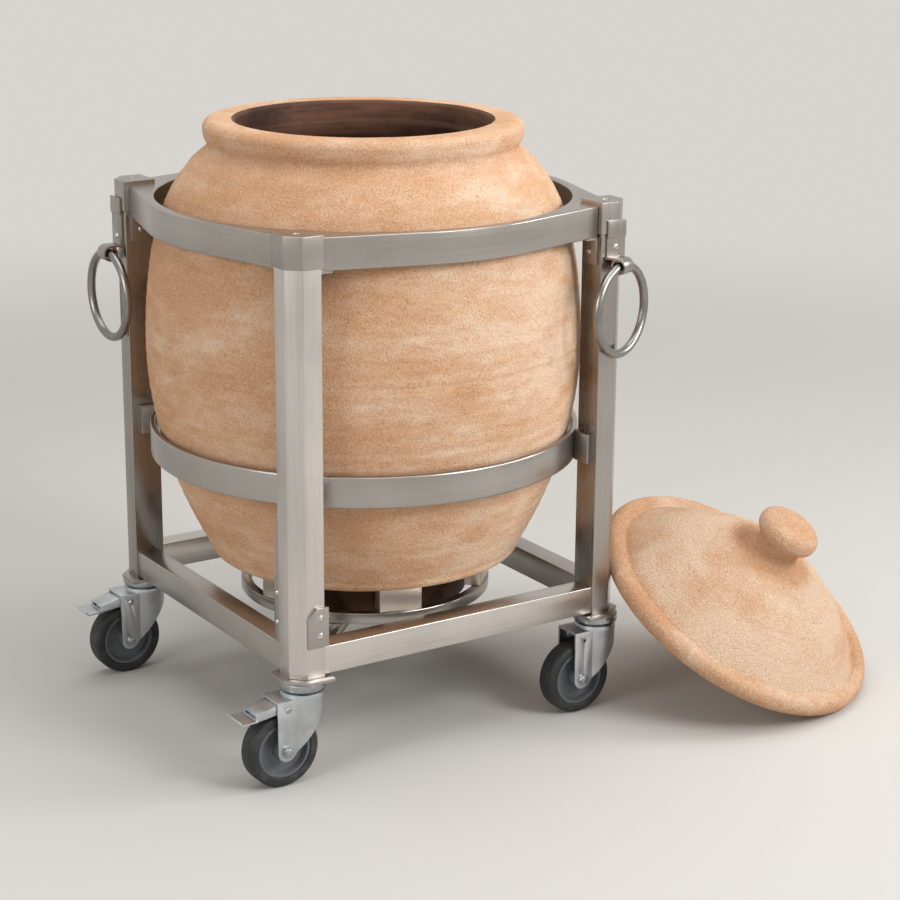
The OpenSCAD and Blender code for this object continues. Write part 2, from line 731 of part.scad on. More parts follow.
// Handles. Drawn on a face towards -Y at the right post; eye_z is the height of the eye's axis
eye_right = post_top - eye_down_right;
eye_left = post_top - eye_down_left;
eye_in_r = grip_rod_r + eye_gap;
eye_out_r = eye_in_r + strap_t;
cap_low = post_top + cap_t - cap_h;

module at_eye(turn, eye_z) {
    translate([post_mid, -frame_a - eye_out, eye_z]) rotate([0, 0, turn]) children();
}

// Strap: a plate on the post, stepped out over the cap, and a curled eye turned towards the corner
module strap_body(turn, eye_z) {
    step_up = cap_low - 1;
    strap_top = post_top - strap_down;
    color("silver") difference() {
        union() {
            translate([post_mid - strap_w / 2, 0, 0]) rotate([90, 0, 90]) linear_extrude(strap_w) polygon([
                [-frame_a, eye_z + eye_out_r - 4], [-frame_a, step_up - strap_t],
                [-frame_a - cap_t - 0.1, step_up], [-frame_a - cap_t - 0.1, strap_top],
                [-frame_a - cap_t - strap_t, strap_top], [-frame_a - cap_t - strap_t, step_up - strap_t],
                [-frame_a - strap_t, step_up - 2 * strap_t], [-frame_a - strap_t, eye_z + eye_out_r - 4]]);
            at_eye(turn, eye_z) rotate([0, 90, 0]) cylinder(r = eye_out_r, h = eye_w, center = true);
            at_eye(turn, eye_z) translate([-eye_w / 2, 0, eye_out_r - strap_t]) cube([eye_w, eye_out + strap_t, strap_t]);
        }
        at_eye(turn, eye_z) rotate([0, 90, 0]) cylinder(r = eye_in_r, h = 2 * eye_w, center = true);
        translate([0, -frame_a, 0]) cube([2 * frame_a, frame_a, 2 * frame_a + post_top]);
    }
}

module strap_right() { strap_body(turn_right, eye_right); }
module strap_left() { mirror([1, -1, 0]) strap_body(turn_left, eye_left); }

module strap_rivet(eye_z) {
    translate([post_mid, -frame_a - strap_t, eye_z + eye_out_r + 12]) rotate([90, 0, 0])
        cylinder(r1 = screw_r, r2 = screw_r * 0.6, h = screw_h, $fn = 32);
}

module strap_rivets() {
    color("lightgray") {
        strap_rivet(eye_right);
        mirror([1, -1, 0]) strap_rivet(eye_left);
    }
}

// Round handle hanging in the eye
module grip_body(turn, eye_z) {
    color("silver") at_eye(turn, eye_z) translate([0, 0, -grip_r]) rotate([90, 0, 0])
        rotate_extrude($fn = 120) translate([grip_r, 0]) circle(r = grip_rod_r, $fn = 32);
}

module grip_right() { grip_body(turn_right, eye_right); }
module grip_left() { mirror([1, -1, 0]) grip_body(turn_left, eye_left); }

// Lid. Its rim's middle circle is level with its own z = 0; the lowest point of that rim is on
// the floor and its side rests against the outer edge of the right post
lid_mid_r = lid_r - lid_edge;
lid_z = lid_mid_r * sin(lid_tilt) + lid_edge;
touch_off = lid_touch_az - lid_az;
lean_r = lid_mid_r * cos(lid_tilt);
touch_d = norm([lean_r * cos(touch_off), lid_mid_r * sin(touch_off)]);
lean_dir = [cos(lid_az), sin(lid_az)];
side_dir = [-sin(lid_az), cos(lid_az)];
touch_edge = [frame_a, -frame_a + post_chamfer];
lid_xy = touch_edge + (lid_edge + lid_gap) * [cos(lid_touch_az), sin(lid_touch_az)]
    + (lean_r * lean_r * cos(touch_off) * lean_dir + lid_mid_r * lid_mid_r * sin(touch_off) * side_dir) / touch_d;

// Thrown clay lid: a rounded rim, a groove, a full dome, a flaring neck with its knob and a hollow underside
module clay_lid() {
    n = 14;
    groove_r = lid_mid_r - lid_flat - 2 * lid_groove;
    groove_z = lid_edge - lid_groove;
    flare_r = knob_neck_r + neck_flare;
    flare_h = neck_flare * 0.55;
    flare_z = groove_z + (dome_h - groove_z) * (1 - pow(flare_r / groove_r, dome_full));
    knob_z = flare_z + flare_h + knob_neck_h;
    edge_r = knob_t * 0.42;
    under_r = groove_r - 4;
    rim = arc(lid_mid_r, 0, lid_edge, -90, 90, 14);
    groove = [[lid_mid_r - lid_flat, lid_edge], [lid_mid_r - lid_flat - lid_groove, lid_edge - lid_groove * 0.7]];
    dome = [for (i = [0 : n]) let (r = groove_r + (flare_r - groove_r) * i / n)
        [r, groove_z + (dome_h - groove_z) * (1 - pow(r / groove_r, dome_full))]];
    neck = [for (a = [255 : -15 : 180]) [flare_r + neck_flare * cos(a), flare_z + flare_h * (1 + sin(a))]];
    knob = concat([[knob_neck_r + 1, knob_z - 3]], arc(knob_r - edge_r, knob_z + edge_r, edge_r, -70, 70, 9),
        [[knob_r * 0.35, knob_z + knob_t - 1.5]]);
    under = [for (i = [0 : n]) [under_r * i / n, -lid_edge + (dome_h + lid_edge - lid_wall) * (1 - pow(i / n, 1.8))]];
    color("peru") translate([lid_xy[0], lid_xy[1], lid_z]) rotate([0, lid_tilt, lid_az])
        rotate_extrude($fn = 180)
            polygon(concat(rim, groove, dome, neck, knob, [[0, knob_z + knob_t]], under));
}

clay_pot();
charcoal_grate();
ash_pan();
top_ring();
middle_ring();
cradle_ring();
support_blocks();
cradle_beam();
post_front();
post_right();
post_back();
post_left();
rail_front_right();
rail_back_right();
rail_back_left();
rail_front_left();
post_caps();
ring_brackets();
bracket_screws();
ring_tabs();
corner_plates();
plate_rivets();
foot_plates();
castor_heads();
kingpins();
fork_front();
axle_front();
core_front();
tyre_front();
pedal_front();
pedal_pin_front();
fork_left();
axle_left();
core_left();
tyre_left();
pedal_left();
pedal_pin_left();
fork_right();
axle_right();
core_right();
tyre_right();
fork_back();
axle_back();
core_back();
tyre_back();
strap_left();
strap_right();
strap_rivets();
grip_left();
grip_right();
clay_lid();
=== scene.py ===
import json
import math

import bpy
from mathutils import Matrix, Vector

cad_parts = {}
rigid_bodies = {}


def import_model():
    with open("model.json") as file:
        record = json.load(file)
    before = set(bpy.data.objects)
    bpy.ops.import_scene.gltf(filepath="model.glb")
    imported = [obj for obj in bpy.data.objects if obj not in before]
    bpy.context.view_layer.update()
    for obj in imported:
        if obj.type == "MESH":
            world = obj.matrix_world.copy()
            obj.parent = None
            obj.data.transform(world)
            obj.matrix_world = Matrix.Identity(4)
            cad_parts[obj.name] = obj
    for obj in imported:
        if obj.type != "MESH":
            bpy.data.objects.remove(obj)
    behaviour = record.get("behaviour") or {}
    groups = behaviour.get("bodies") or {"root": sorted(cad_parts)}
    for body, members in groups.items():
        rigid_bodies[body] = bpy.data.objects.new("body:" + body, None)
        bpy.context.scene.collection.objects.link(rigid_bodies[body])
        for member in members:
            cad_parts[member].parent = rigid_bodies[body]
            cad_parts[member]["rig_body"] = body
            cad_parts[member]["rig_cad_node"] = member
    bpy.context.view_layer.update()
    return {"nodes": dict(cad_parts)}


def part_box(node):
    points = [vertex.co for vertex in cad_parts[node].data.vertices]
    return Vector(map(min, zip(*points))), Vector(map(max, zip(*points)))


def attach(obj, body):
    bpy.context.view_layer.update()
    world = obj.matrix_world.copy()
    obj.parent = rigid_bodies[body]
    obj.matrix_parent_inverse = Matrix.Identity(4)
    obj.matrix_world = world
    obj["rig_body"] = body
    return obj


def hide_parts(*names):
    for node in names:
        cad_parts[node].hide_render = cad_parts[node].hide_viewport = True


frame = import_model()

# ---- Clay pot ---------------------------------------------------------------------------
# The pot is thrown on a wheel from gritty buff clay and fired without a glaze, so it keeps
# faint throwing rings, orange flashes and pits. Fires have blackened its inside.

MM = 0.001
TURN = 2 * math.pi


class Value:
    """An output of a node, with Python's operators on it."""

    def __init__(self, finish, output):
        self.finish, self.output = finish, output

    def __add__(self, other):
        return self.finish.math("ADD", self, other)

    def __sub__(self, other):
        return self.finish.math("SUBTRACT", self, other)

    def __rsub__(self, other):
        return self.finish.math("SUBTRACT", other, self)

    def __mul__(self, other):
        return self.finish.math("MULTIPLY", self, other)

    __radd__ = __add__
    __rmul__ = __mul__


class Finish:
    """A material that is built up from node to node, in the order of its maker's steps."""

    def __init__(self, name, **shader):
        self.material = bpy.data.materials.new(name)
        self.material.use_nodes = True
        self.tree = self.material.node_tree
        self.shader = self.tree.nodes["Principled BSDF"]
        self.set(**shader)

    def put(self, socket, value):
        if isinstance(value, Value):
            self.tree.links.new(value.output, socket)
        elif socket.type == "RGBA" and len(value) == 3:
            socket.default_value = (*value, 1)
        else:
            socket.default_value = value

    def set(self, **shader):
        for name, value in shader.items():
            self.put(self.shader.inputs[name.replace("_", " ")], value)

    def node(self, kind, settings, inputs, output=0):
        node = self.tree.nodes.new(kind)
        for name, value in settings.items():
            setattr(node, name, value)
        for name, value in inputs.items():
            self.put(node.inputs[name], value)
        return Value(self, node.outputs[output])

    def math(self, operation, *values):
        return self.node("ShaderNodeMath", {"operation": operation}, dict(enumerate(values)))

    def place(self, stretch=(1, 1, 1), turn=(0, 0, 0), centre=(0, 0, 0)):
        """Where a point is on the piece, seen from a centre and turn, with axes stretched."""
        here = self.node("ShaderNodeTexCoord", {}, {}, "Object")
        return self.node("ShaderNodeMapping", {"vector_type": "TEXTURE"}, {
            "Vector": here, "Location": centre, "Rotation": turn,
            "Scale": [1 / s for s in stretch]})

    def parts(self, where, axes="XYZ"):
        return [self.node("ShaderNodeSeparateXYZ", {}, {"Vector": where}, axis) for axis in axes]

    def noise(self, where, scale, detail=3, rough=0.5):
        return self.node("ShaderNodeTexNoise", {}, {
            "Vector": where, "Scale": scale, "Detail": detail, "Roughness": rough})

    def step(self, value, low, high):
        return self.node("ShaderNodeMapRange", {"interpolation_type": "SMOOTHSTEP"}, {
            "Value": value, "From Min": low, "From Max": high})

    def mix(self, factor, a, b):
        return self.node("ShaderNodeMix", {"data_type": "RGBA"}, {0: factor, 6: a, 7: b}, 2)

    def bump(self, height, strength, depth, below=None):
        inputs = {"Height": height, "Strength": strength, "Distance": depth}
        if below:
            inputs["Normal"] = below
        return self.node("ShaderNodeBump", {}, inputs)


def fired_clay(name, shade, blush, centre=(0, 0, 0), turn=(0, 0, 0)):
    """Sandy buff clay with chalky and orange patches. Shade scales its colours down, which is
    painted shade where it is below 1;
    blush gives where it is more orange than elsewhere, and the pot's blush leaves its lit side
    paler, which is painted light."""
    clay = Finish(name, Roughness=0.95, Specular_IOR_Level=0.2)
    here = clay.place(centre=centre, turn=turn)

    orange, buff, chalk = ([part * shade for part in colour] for colour in (
        (0.680, 0.365, 0.190), (0.755, 0.455, 0.275), (0.840, 0.610, 0.435)))
    drift = clay.noise(clay.place((1, 1, 3.2), turn, centre), 4.2, detail=5, rough=0.60)
    cloud = clay.noise(clay.place((1, 1, 2.4), turn, centre), 17, detail=5, rough=0.70)
    # Where blush is low the tone moves to chalk; on the pot this is painted light on its lit side.
    tone = drift * 0.55 + cloud * 0.45 + (0.5 - blush(clay, here)) * 0.16
    skin = clay.mix(clay.step(tone, 0.37, 0.50), orange, buff)
    skin = clay.mix(clay.step(tone, 0.46, 0.61), skin, chalk)

    pale_grain, dark_grain = (0.910, 0.740, 0.580), (0.470, 0.220, 0.100)
    sand = clay.noise(here, 400, detail=3, rough=0.6)
    grit = clay.noise(here, 950, detail=2, rough=0.6)
    grains = sand * 0.55 + grit * 0.45
    skin = clay.mix(clay.step(grains, 0.49, 0.62) * 0.40, skin, pale_grain)
    skin = clay.mix(clay.step(grains, 0.49, 0.38) * 0.50, skin, dark_grain)

    pit_brown = (0.240, 0.110, 0.050)
    cells = clay.node("ShaderNodeTexVoronoi", {}, {"Vector": here, "Scale": 190.0}, "Distance")
    rare = clay.step(clay.noise(here, 47, detail=1), 0.59, 0.66)
    pits = clay.step(cells, 0.22, 0.10) * rare
    clay.set(Base_Color=clay.mix(pits * 0.6, skin, pit_brown))

    rings = clay.noise(clay.place((1.2, 1.2, 60), turn, centre), 1.5, detail=2)
    rough = clay.bump(rings, strength=0.22, depth=1.0 * MM)
    rough = clay.bump(sand, strength=1.0, depth=2.4 * MM, below=rough)
    rough = clay.bump(grit, strength=1.0, depth=0.9 * MM, below=rough)
    clay.set(Normal=clay.bump(pits, strength=0.8, depth=-0.8 * MM, below=rough))
    return clay


def from_axis(finish, here):
    x, y = finish.parts(here, "XY")
    return finish.math("SQRT", x * x + y * y)


def burnt_clay():
    """Clay browned and sooted by charcoal, a little shiny where it is rubbed by bread."""
    burnt = Finish("burnt clay", Specular_IOR_Level=0.4)
    soot_black, brown, ash_brown, scratch_black = (
        (0.045, 0.018, 0.009), (0.215, 0.100, 0.058), (0.34, 0.185, 0.115), (0.030, 0.013, 0.007))
    soot = burnt.noise(burnt.place((1, 1, 3)), 5, detail=5, rough=0.6)
    lines = burnt.noise(burnt.place((1, 1, 34)), 2.2, detail=3)
    crust = burnt.noise(burnt.place(), 150, detail=3, rough=0.7)
    skin = burnt.mix(burnt.step(soot, 0.35, 0.68), soot_black, brown)
    skin = burnt.mix(burnt.step(lines, 0.50, 0.70) * 0.35, skin, ash_brown)
    skin = burnt.mix(burnt.step(lines, 0.48, 0.32) * 0.40, skin, scratch_black)
    burnt.set(Base_Color=skin, Roughness=0.86 - burnt.step(crust, 0.4, 0.8) * 0.3)
    worn = burnt.bump(lines, strength=0.4, depth=1 * MM)
    burnt.set(Normal=burnt.bump(crust, strength=0.5, depth=0.8 * MM, below=worn))
    return burnt


def pick(piece):
    bpy.ops.object.select_all(action="DESELECT")
    piece.select_set(True)
    bpy.context.view_layer.objects.active = piece


def apply(piece, kind, **settings):
    """Adds one modifier with its settings and applies it."""
    pick(piece)
    modifier = piece.modifiers.new(kind, kind)
    for name, value in settings.items():
        setattr(modifier, name, value)
    bpy.ops.object.modifier_apply(modifier=modifier.name)


def settle(piece):
    """Moves the object's place, turn and size into its mesh."""
    pick(piece)
    bpy.ops.object.transform_apply(location=True, rotation=True, scale=True)


def turned(name, profile, steps):
    """Spins a closed profile of (radius, height) points round the Z axis, as a wheel does."""
    bpy.ops.object.select_all(action="DESELECT")
    points = list(profile) + [profile[0]]
    bpy.ops.mesh.primitive_plane_add(size=MM, location=(points[0][0], 0, points[0][1]))
    piece = bpy.context.object
    piece.name = name
    bpy.ops.object.mode_set(mode="EDIT")
    bpy.ops.mesh.select_all(action="SELECT")
    bpy.ops.mesh.merge(type="CENTER")
    for (r0, z0), (r1, z1) in zip(points, points[1:]):
        way = (r1 - r0, 0, z1 - z0)
        bpy.ops.mesh.extrude_region_move(TRANSFORM_OT_translate={"value": way})
    bpy.ops.mesh.select_all(action="SELECT")
    bpy.ops.mesh.spin(steps=steps, angle=TURN, center=(0, 0, 0), axis=(0, 0, 1))
    bpy.ops.mesh.select_all(action="SELECT")
    bpy.ops.mesh.remove_doubles(threshold=0.01 * MM)
    bpy.ops.mesh.normals_make_consistent(inside=False)
    bpy.ops.object.mode_set(mode="OBJECT")
    settle(piece)
    return piece


def arc(cx, cz, r, start, end, n):
    """Points of an arc, from one angle in degrees to another."""
    angles = [math.radians(start + (end - start) * i / n) for i in range(n + 1)]
    return [(cx + r * math.cos(a), cz + r * math.sin(a)) for a in angles]


def uneven(piece, size, height):
    """Presses soft hollows and swellings of one size into a thrown piece."""
    cloud = bpy.data.textures.new(piece.name + " hands", "CLOUDS")
    cloud.noise_scale = size
    apply(piece, "DISPLACE", texture=cloud, strength=height, mid_level=0.5,
          texture_coords="LOCAL")


pot_low, pot_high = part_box("clay_pot")
pot_z, pot_h = pot_low.z, pot_high.z - pot_low.z
belly_r = pot_high.x - 0.4 * MM
belly_h, foot_r, neck_r, rim_r, mouth_r = 304 * MM, 212 * MM, 213 * MM, 218 * MM, 174 * MM
rim_h, wall, floor_t, draught_r = 38 * MM, 44 * MM, 50 * MM, 55 * MM
foot_round, top_round, mouth_round = 12 * MM, 12 * MM, 6 * MM
neck_h = pot_h - rim_h
inner_top = neck_h - rim_h / 4


def pot_side(h):
    """Outside radius at a height over the foot: belly and shoulder, then the swelling rim."""
    if h < belly_h:
        return belly_r - (belly_r - foot_r) * ((belly_h - h) / belly_h) ** 2
    u = (h - belly_h) / (neck_h - belly_h)
    shoulder = belly_r - (belly_r - neck_r) * (0.55 * u * u + 0.45 * u ** 6)
    rim_middle, rim_half, rim_swell = pot_h - 13 * MM, 21 * MM, 7 * MM
    rim = rim_r - rim_swell * ((rim_middle - h) / rim_half) ** 2
    blend = 12 * MM
    return max(shoulder, rim) + max(blend - abs(shoulder - rim), 0) ** 2 / (4 * blend)


def throwing_ring(h):
    """Lines cut by a tool, a soft ridge under the neck, and the waves left by fingers."""
    cuts = sum(math.exp(-((h - cut * MM) / (1.8 * MM)) ** 2) for cut in (121, 215, 305, 499))
    ridge = math.exp(-((pot_h - 54 * MM - h) / (8 * MM)) ** 2)
    waves = math.sin(h / (17 * MM) * TURN)
    return 0.25 * MM * waves + 1.3 * MM * ridge - 0.8 * MM * cuts


def lit_side_paler(clay, here):
    """Painted light: the side that faces the front and right lamps is painted paler and chalkier;
    the other has more orange.
    """
    x, y = clay.parts(here, "XY")
    return 0.85 - clay.step(x * 0.80 - y * 0.60, 0.02, 0.26) * 0.60


outer_n, inner_n = 230, 60
side_h = pot_h - top_round - foot_round - 2 * MM
heights = [foot_round + side_h * i / outer_n for i in range(1, outer_n + 1)]
outer = [(pot_side(h) + throwing_ring(h), h) for h in heights]
depths = [inner_top + (floor_t - inner_top) * i / inner_n for i in range(inner_n + 1)]
inner = [(min(pot_side(h) - wall, mouth_r + (inner_top - h) * 2), h) for h in depths]
foot = arc(pot_side(foot_round) - foot_round, foot_round, foot_round, -90, 0, 8)
rim_top = arc(rim_r - top_round, pot_h - top_round, top_round, 6, 90, 9)
mouth = arc(mouth_r + mouth_round, pot_h - mouth_round, mouth_round, 90, 180, 7)
profile = [(draught_r, 0)] + foot + outer + rim_top + mouth + inner + [(draught_r, floor_t)]
pot = turned("thrown_pot", [(r, z + pot_z) for r, z in profile], 288)
uneven(pot, 0.16, 1.1 * MM)
uneven(pot, 0.035, 0.35 * MM)
# Painted light: the pot's side towards the lamps at the front and right is painted paler.
pot.data.materials.append(fired_clay("buff fired clay", 1.0, lit_side_paler).material)
pot.data.materials.append(burnt_clay().material)
for face in pot.data.polygons:
    r, h = math.hypot(face.center.x, face.center.y), face.center.z - pot_z
    skin_r = mouth_r + 4.5 * MM if h > inner_top else pot_side(h) - wall / 2
    face.material_index = int(h > 5 * MM and r < skin_r)
    face.use_smooth = True
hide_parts("clay_pot")
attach(pot, "frame")

# ---- Grate and ash pan ------------------------------------------------------------------
# The grate is an iron casting that lies over the draught hole. The pan under the hole is
# pressed from thin sheet. Both are scaled and brown from heat; the pan is painted darker still, as
# painted shade under the pot.


def rounded(node, width, segments=2, angle=30):
    """A copy of a CAD node whose sharp edges are broken, as dies, files and polishing leave
    them."""
    source = frame["nodes"][node]
    piece = source.copy()
    piece.data = source.data.copy()
    piece.name = "worn_" + node
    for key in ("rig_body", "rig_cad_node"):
        if key in piece:
            del piece[key]
    bpy.context.scene.collection.objects.link(piece)
    pick(piece)
    bpy.ops.mesh.customdata_custom_splitnormals_clear()
    bpy.ops.object.mode_set(mode="EDIT")
    bpy.ops.mesh.select_all(action="SELECT")
    bpy.ops.mesh.remove_doubles(threshold=0.005 * MM)
    bpy.ops.mesh.dissolve_limited(angle_limit=math.radians(0.8))
    bpy.ops.object.mode_set(mode="OBJECT")
    apply(piece, "BEVEL", width=width, segments=segments, limit_method="ANGLE",
          angle_limit=math.radians(angle), use_clamp_overlap=True, miter_outer="MITER_ARC",
          harden_normals=False)
    bpy.ops.object.shade_smooth_by_angle(angle=math.radians(angle + 5))
    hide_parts(node)
    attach(piece, source["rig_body"])
    return piece


def dress_node(node, finish):
    """Gives a CAD node that stays as it is its finish."""
    piece = frame["nodes"][node]
    piece.data.materials.clear()
    piece.data.materials.append(finish.material)


def dress(piece, finish):
    piece.data.materials.clear()
    piece.data.materials.append(finish.material)


iron = Finish("fire-scaled iron", Metallic=0.7, Specular_IOR_Level=0.4)
scale = iron.noise(iron.place(), 60, detail=4, rough=0.7)
iron.set(Base_Color=iron.mix(iron.step(scale, 0.4, 0.7),
                             (0.030, 0.026, 0.024), (0.110, 0.055, 0.030)),
         Roughness=0.6 + scale * 0.3, Normal=iron.bump(scale, strength=0.6, depth=1.2 * MM))
dress(rounded("charcoal_grate", 1.2 * MM), iron)

# Partly painted shade: the pan is browned by heat, and its colours are made darker still to stand
# for the shade in the gap under the pot.
scorched_and_shaded = Finish("heat-browned sheet, painted shade", Metallic=0.8)
heat = scorched_and_shaded.noise(scorched_and_shaded.place(), 16, detail=4, rough=0.6)
scorched_and_shaded.set(Base_Color=scorched_and_shaded.mix(scorched_and_shaded.step(heat, 0.35, 0.68),
                                     (0.030, 0.017, 0.011), (0.110, 0.056, 0.030)),
             Roughness=0.42 + heat * 0.3,
             Normal=scorched_and_shaded.bump(heat, strength=0.2, depth=0.5 * MM))
dress(rounded("ash_pan", 0.5 * MM), scorched_and_shaded)

# ---- Rings, blocks and beam -------------------------------------------------------------
# Stainless strip rolled to rings and brushed round, with broken edges. The top ring is a
# channel that runs out straight to the posts; the cradle ring lies on a beam, and six
# blocks on it lift the pot.
ACROSS, ALONG, WIDE = 2200, 9, 0.16


def brushed(name, grain, colour, rough=0.3, lines=1.0):
    """Stainless brushed along X, Y or Z, or round the Z axis when grain is ROUND."""
    steel = Finish(name, Metallic=1.0)
    here = steel.place()
    if grain == "ROUND":
        x, y, z = steel.parts(here)
        across = steel.node("ShaderNodeCombineXYZ", {}, {
            "X": from_axis(steel, here) * ACROSS, "Y": z * ACROSS, "Z": x * 9 + y * 6})
        fine = steel.noise(across, 1.0, detail=2, rough=0.6)
        broad = steel.noise(across, WIDE, detail=2, rough=0.5)
    else:
        narrow = [ALONG if axis == grain else ACROSS for axis in "XYZ"]
        wide = [ALONG if axis == grain else ACROSS * WIDE for axis in "XYZ"]
        fine = steel.noise(steel.place(narrow), 1.0, detail=2, rough=0.6)
        broad = steel.noise(steel.place(wide), 1.0, detail=2, rough=0.5)
    cloud = steel.noise(here, 7, detail=3, rough=0.55)
    dark, light = [c * 0.88 for c in colour], [min(c * 1.10, 1) for c in colour]
    tone = steel.step(fine * 0.35 + broad * 0.20 + cloud * 0.45, 0.32, 0.68)
    steel.set(Base_Color=steel.mix(tone, dark, light),
              Roughness=rough - 0.05 + (broad - 0.5) * 0.10 * lines + cloud * 0.10,
              Normal=steel.bump(fine * 0.8 + broad * 0.2, 0.16 * lines, 0.10 * MM))
    return steel


warm_steel = (0.420, 0.395, 0.370)
ring_steel = brushed("stainless, brushed round", "ROUND", warm_steel, 0.30)
for node, edge in (("top_ring", 1.6), ("middle_ring", 2.2), ("cradle_ring", 2.0)):
    dress(rounded(node, edge * MM, 3, 25), ring_steel)
# Painted reflection: the blocks get a light, warm colour that stands for the clay pot reflected in
# their faces.
block_steel_painted_reflection = brushed("stainless, painted clay reflection", "Z", (0.76, 0.68, 0.60), 0.40, lines=0.5)
dress(rounded("support_blocks", 1.5 * MM), block_steel_painted_reflection)
bar_steel = brushed("stainless bar", "X", warm_steel, 0.34)
dress(rounded("cradle_beam", 1.2 * MM), bar_steel)

# ---- Posts, rails and caps --------------------------------------------------------------
# Square stainless tube with one corner folded flat, brushed along its length. The rails are
# welded between the posts, and a folded cap closes each post.
SIDES = ("front", "right", "back", "left")
post_steel = brushed("stainless tube, upright", "Z", (0.380, 0.355, 0.330), 0.27)
# Painted light: the front post gets the same tube steel painted much lighter, for the light it
# catches nearest the camera.
front_post_painted_light = brushed("stainless tube, painted light", "Z", (0.620, 0.588, 0.556), 0.30)
# Painted light: the rails along X are painted lighter than the same steel on the rails along Y,
# for the light their faces catch.
rail_steel = {"X": brushed("stainless tube, across, painted light", "X", (0.610, 0.580, 0.550), 0.30),
              "Y": brushed("stainless tube, deep", "Y", (0.440, 0.412, 0.385), 0.30)}
for side in SIDES:
    post = rounded("post_" + side, 2.4 * MM, 3)
    dress(post, front_post_painted_light if side == "front" else post_steel)
for node, grain in (("rail_front_right", "X"), ("rail_back_left", "X"),
                    ("rail_front_left", "Y"), ("rail_back_right", "Y")):
    dress(rounded(node, 2.0 * MM, 3), rail_steel[grain])
sheet_colour = (0.400, 0.375, 0.350)
cap_steel = brushed("stainless sheet, upright", "Z", sheet_colour, 0.30)
dress(rounded("post_caps", 1.5 * MM, 3), cap_steel)

# ---- Brackets, tabs, plates and fixings -------------------------------------------------
# Cut and folded from stainless sheet and welded or screwed on, with filed edges. The screws
# have a low coned head with a socket, and the rivets have low coned heads.
sheet_steel = brushed("stainless sheet, cut", "Z", sheet_colour, 0.34)
for node in ("ring_brackets", "ring_tabs", "corner_plates", "foot_plates"):
    dress(rounded(node, 0.9 * MM), sheet_steel)
fixing = Finish("bright fixing", Metallic=1.0, Roughness=0.22)
handled = fixing.noise(fixing.place(), 240, detail=2)
fixing.set(Base_Color=fixing.mix(handled, (0.48, 0.47, 0.46), (0.66, 0.64, 0.62)))
for node in ("bracket_screws", "plate_rivets", "strap_rivets"):
    dress_node(node, fixing)

# ---- Castors ----------------------------------------------------------------------------
# A pressed fork turns under a raced head on its kingpin, and carries a wheel on a bolt. The
# steel is zinc plated with a blue cast; the wheel is grey plastic with a solid black tyre.


def zinc(name, colour, rough):
    plate = Finish(name, Metallic=1.0)
    here = plate.place()
    bloom = plate.noise(here, 26, detail=4, rough=0.6)
    speck = plate.noise(here, 420, detail=2, rough=0.6)
    dull, bright = [c * 0.86 for c in colour], [c * 1.1 for c in colour]
    plate.set(Base_Color=plate.mix(plate.step(bloom, 0.35, 0.7), dull, bright),
              Roughness=rough + (bloom - 0.5) * 0.16 + (speck - 0.5) * 0.1,
              Normal=plate.bump(speck, strength=0.10, depth=0.15 * MM))
    return plate


pressed_zinc = zinc("blue zinc, pressed", (0.56, 0.585, 0.615), 0.34)
turned_zinc = zinc("blue zinc, turned", (0.40, 0.42, 0.44), 0.26)
rubber = Finish("solid black rubber", Specular_IOR_Level=0.45)
dust = rubber.noise(rubber.place(), 45, detail=4, rough=0.6)
mould = rubber.noise(rubber.place(), 300, detail=2)
rubber.set(Base_Color=rubber.mix(rubber.step(dust, 0.45, 0.75),
                                 (0.020, 0.021, 0.022), (0.052, 0.053, 0.054)),
           Roughness=0.52 + dust * 0.2,
           Normal=rubber.bump(mould, strength=0.18, depth=0.2 * MM))
core_plastic = Finish("grey wheel plastic", Specular_IOR_Level=0.5)
flow = core_plastic.noise(core_plastic.place(), 35, detail=3)
core_plastic.set(Base_Color=core_plastic.mix(flow, (0.085, 0.095, 0.105), (0.135, 0.148, 0.160)),
                 Roughness=0.34 + flow * 0.12)
dress(rounded("castor_heads", 1.0 * MM, 3), turned_zinc)
dress_node("kingpins", turned_zinc)
for side in SIDES:
    dress(rounded("fork_" + side, 0.8 * MM), pressed_zinc)
    dress(rounded("axle_" + side, 0.5 * MM, angle=40), turned_zinc)
    dress(rounded("core_" + side, 0.8 * MM), core_plastic)
    dress(rounded("tyre_" + side, 0.8 * MM), rubber)

# ---- Brake pedals -----------------------------------------------------------------------
# Folded from zinc-plated sheet over a pin in the fork, with a lip to step on. Two castors
# have one; pressing it down brings its bar to the tyre.
for side in ("front", "left"):
    dress(rounded("pedal_" + side, 0.7 * MM), pressed_zinc)
    dress_node("pedal_pin_" + side, turned_zinc)

# ---- Carrying handles -------------------------------------------------------------------
# A strap is folded from stainless sheet, riveted to the post and curled round a welded ring
# of polished rod, which hangs from it and swings up to the hand.
strap_steel = brushed("stainless strap", "Z", (0.36, 0.335, 0.31), 0.30)
rod_steel = Finish("polished rod", Metallic=1.0)
worn = rod_steel.noise(rod_steel.place(), 30, detail=4, rough=0.6)
rod_steel.set(Base_Color=rod_steel.mix(worn, (0.22, 0.207, 0.194), (0.34, 0.323, 0.306)),
              Roughness=0.20 + worn * 0.16)
for side in ("left", "right"):
    dress(rounded("strap_" + side, 0.8 * MM), strap_steel)
    dress_node("grip_" + side, rod_steel)

# ---- Lid --------------------------------------------------------------------------------
# Thrown in the same clay as the pot, with a rolled rim, a groove, a full dome with lines cut
# by a tool and a mushroom knob to lift it by. It leans on the right post, its rim on the
# ground.
lid_place, lid_turn = (0.46098, -0.27457, 0.12210), (0, math.radians(32), math.radians(-62))
lid_r, lid_edge, lid_wall, groove_r, dome_h = (
    size * MM for size in (217.6, 14, 24, 190, 108))
knob_neck_r, knob_neck_h, flare, knob_r, knob_t = (size * MM for size in (33, 14, 30, 46, 36))
groove_z = lid_edge - 3 * MM


